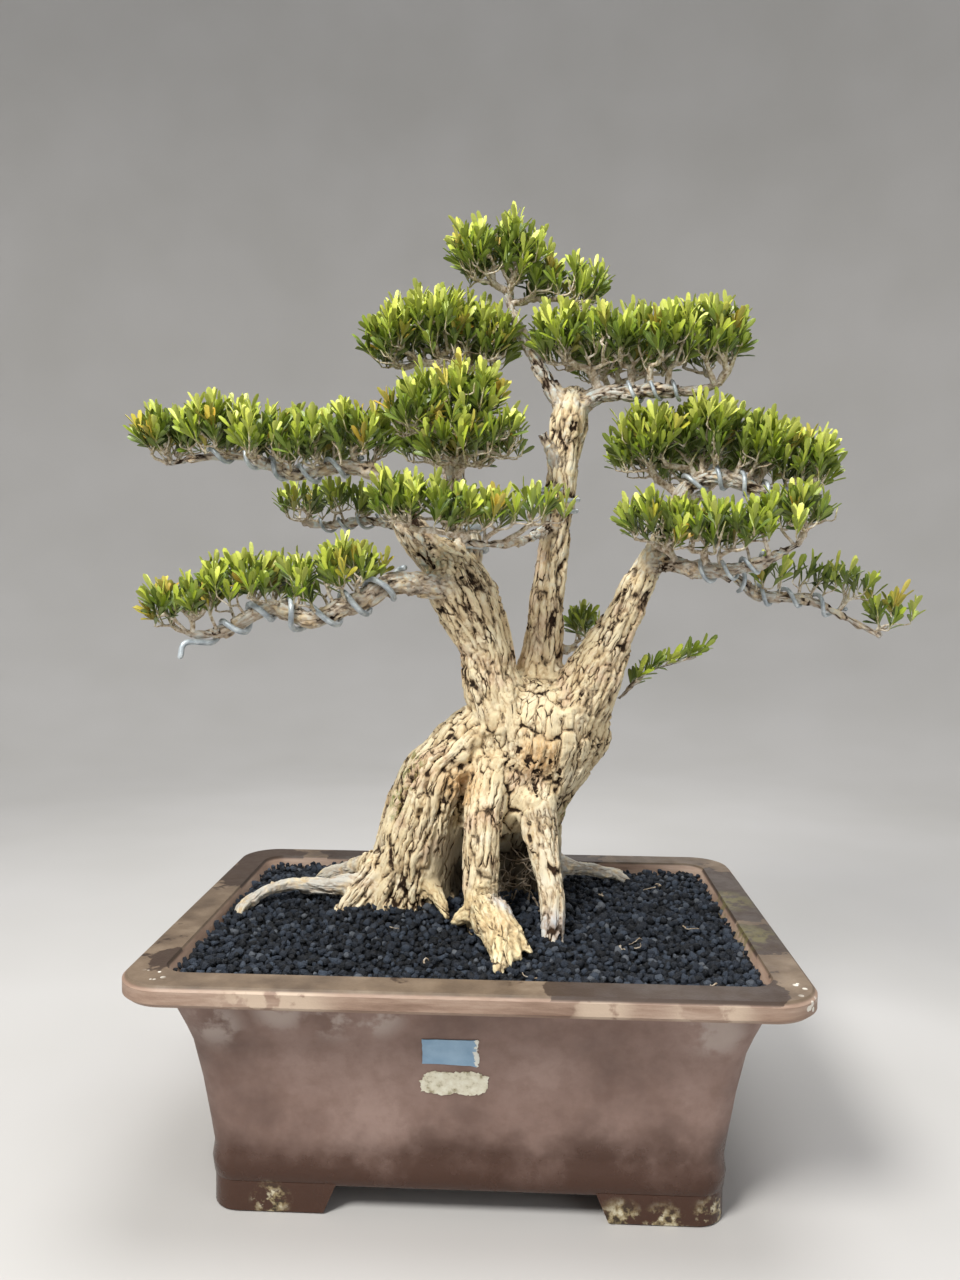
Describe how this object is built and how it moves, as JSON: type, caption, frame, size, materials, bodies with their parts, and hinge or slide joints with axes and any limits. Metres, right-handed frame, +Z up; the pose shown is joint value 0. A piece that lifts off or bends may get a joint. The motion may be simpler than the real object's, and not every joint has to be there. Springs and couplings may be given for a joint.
{
  "type": "boxwood bonsai in a clay pot",
  "caption": "Leaning boxwood bonsai with a fluted, furrowed trunk, wired limbs and flat leafy pads, standing in black gravel in a low rectangular unglazed clay pot on feet.",
  "frame": {"origin": "on the plane the pot's feet stand on, under the middle of the outline of tree and pot together", "axes": "+Z up, along the tree's height; +X to the viewer's right along the pot's long side; -Y towards the viewer, the side with the label"},
  "size_m": [0.6114, 0.336, 0.742],
  "materials": {
    "unglazed_clay": "unglazed brown stoneware, dull and dry at the rim, darker and damp towards the foot",
    "black_gravel": "rough blue-black porous lava grains, matt",
    "pale_bark": "pale cream corky bark, matt, with dark furrows",
    "boxwood_leaf": "living leaf, satin, bright yellow-green at the tips and darker inside",
    "aluminium_wire": "soft drawn wire, dull silver grey",
    "black_plastic": "moulded mesh, matt",
    "blue_paper": "light blue sticker paper, matt, bare",
    "torn_paper": "off-white torn paper with dried glue, matt"
  },
  "bodies": {
    "root": {"pot": "unglazed_clay", "soil": "black_gravel", "trunk": "pale_bark", "drain_screen_1": "black_plastic", "drain_screen_2": "black_plastic", "wire_left_low": "aluminium_wire", "wire_left_middle": "aluminium_wire", "wire_left_back": "aluminium_wire", "wire_limb_left": "aluminium_wire", "wire_limb_centre": "aluminium_wire", "wire_right_middle": "aluminium_wire", "wire_right_front": "aluminium_wire", "wire_right_low": "aluminium_wire", "wire_crown_right": "aluminium_wire", "spray_left_middle": "boxwood_leaf", "spray_left_low": "boxwood_leaf", "spray_left_back": "boxwood_leaf", "spray_crown_left": "boxwood_leaf", "spray_centre_left": "boxwood_leaf", "spray_centre_front": "boxwood_leaf", "spray_apex": "boxwood_leaf", "spray_crown_right": "boxwood_leaf", "spray_right_middle": "boxwood_leaf", "spray_right_front": "boxwood_leaf", "spray_right_low": "boxwood_leaf", "spray_right_tip": "boxwood_leaf", "spray_back_left": "boxwood_leaf", "spray_back_right": "boxwood_leaf", "spray_back_crown": "boxwood_leaf", "spray_back_low": "boxwood_leaf", "spray_sprout": "boxwood_leaf", "label": "blue_paper", "label_residue": "torn_paper"}
  },
  "joints": []
}
